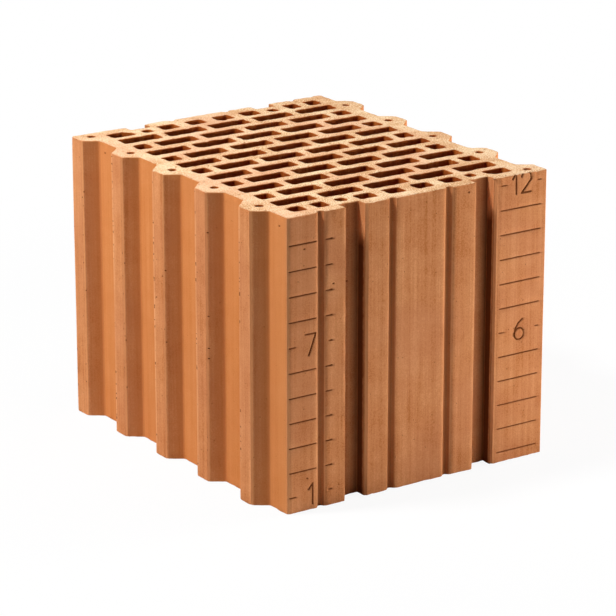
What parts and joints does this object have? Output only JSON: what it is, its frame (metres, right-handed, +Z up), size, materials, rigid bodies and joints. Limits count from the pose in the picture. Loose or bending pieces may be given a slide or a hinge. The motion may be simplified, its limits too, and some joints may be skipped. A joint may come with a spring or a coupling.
{
  "type": "perforated clay block",
  "caption": "Large perforated fired-clay block with tongue-and-groove joint sides, rebated faces and rows of upright slots, for a wall.",
  "frame": {"origin": "middle of the base, at the centre of the bounding box's bottom", "axes": "+Z up along the perforations; X runs along the wall between the two joint sides; Y runs through the wall, with the front face towards -Y"},
  "size_m": [0.26, 0.3, 0.238],
  "materials": {
    "fired_clay": "matte unglazed fired clay with wire-cut beds"
  },
  "bodies": {
    "root": {"clay_block": "fired_clay"}
  },
  "joints": []
}
